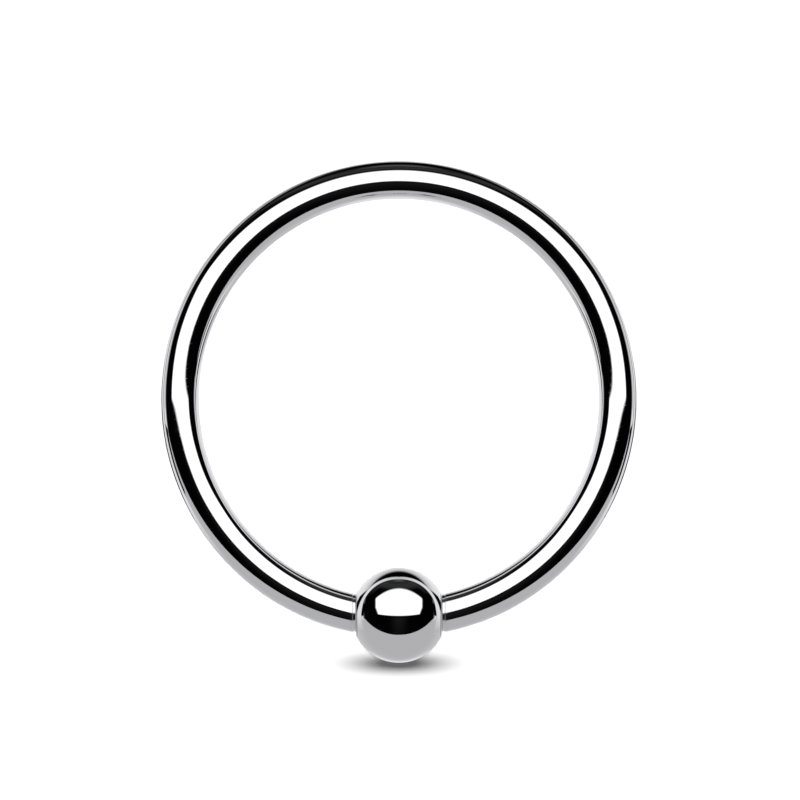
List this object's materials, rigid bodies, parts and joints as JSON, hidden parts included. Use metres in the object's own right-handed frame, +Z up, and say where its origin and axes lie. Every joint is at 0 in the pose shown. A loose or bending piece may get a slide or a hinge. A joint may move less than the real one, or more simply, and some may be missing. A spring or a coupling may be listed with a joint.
{
  "type": "captive bead ring",
  "caption": "Round wire hoop for a body piercing, closed by a polished bead that stays on one end of the wire while the other end rests in its dimple.",
  "frame": {"origin": "centre of the bounding box at its base, on the flat surface that the ring lies on", "axes": "+Z up from that surface, across the ring's thickness; +Y from the bead towards the wire opposite it; +X from the free end of the wire to the end that is fixed in the bead"},
  "size_m": [0.0151, 0.0158, 0.003],
  "materials": {
    "polished_wire": "mirror-polished titanium, drawn round wire with the faintest lines along it",
    "polished_bead": "mirror-polished titanium ball"
  },
  "bodies": {
    "root": {"hoop": "polished_wire", "bead": "polished_bead"}
  },
  "joints": []
}
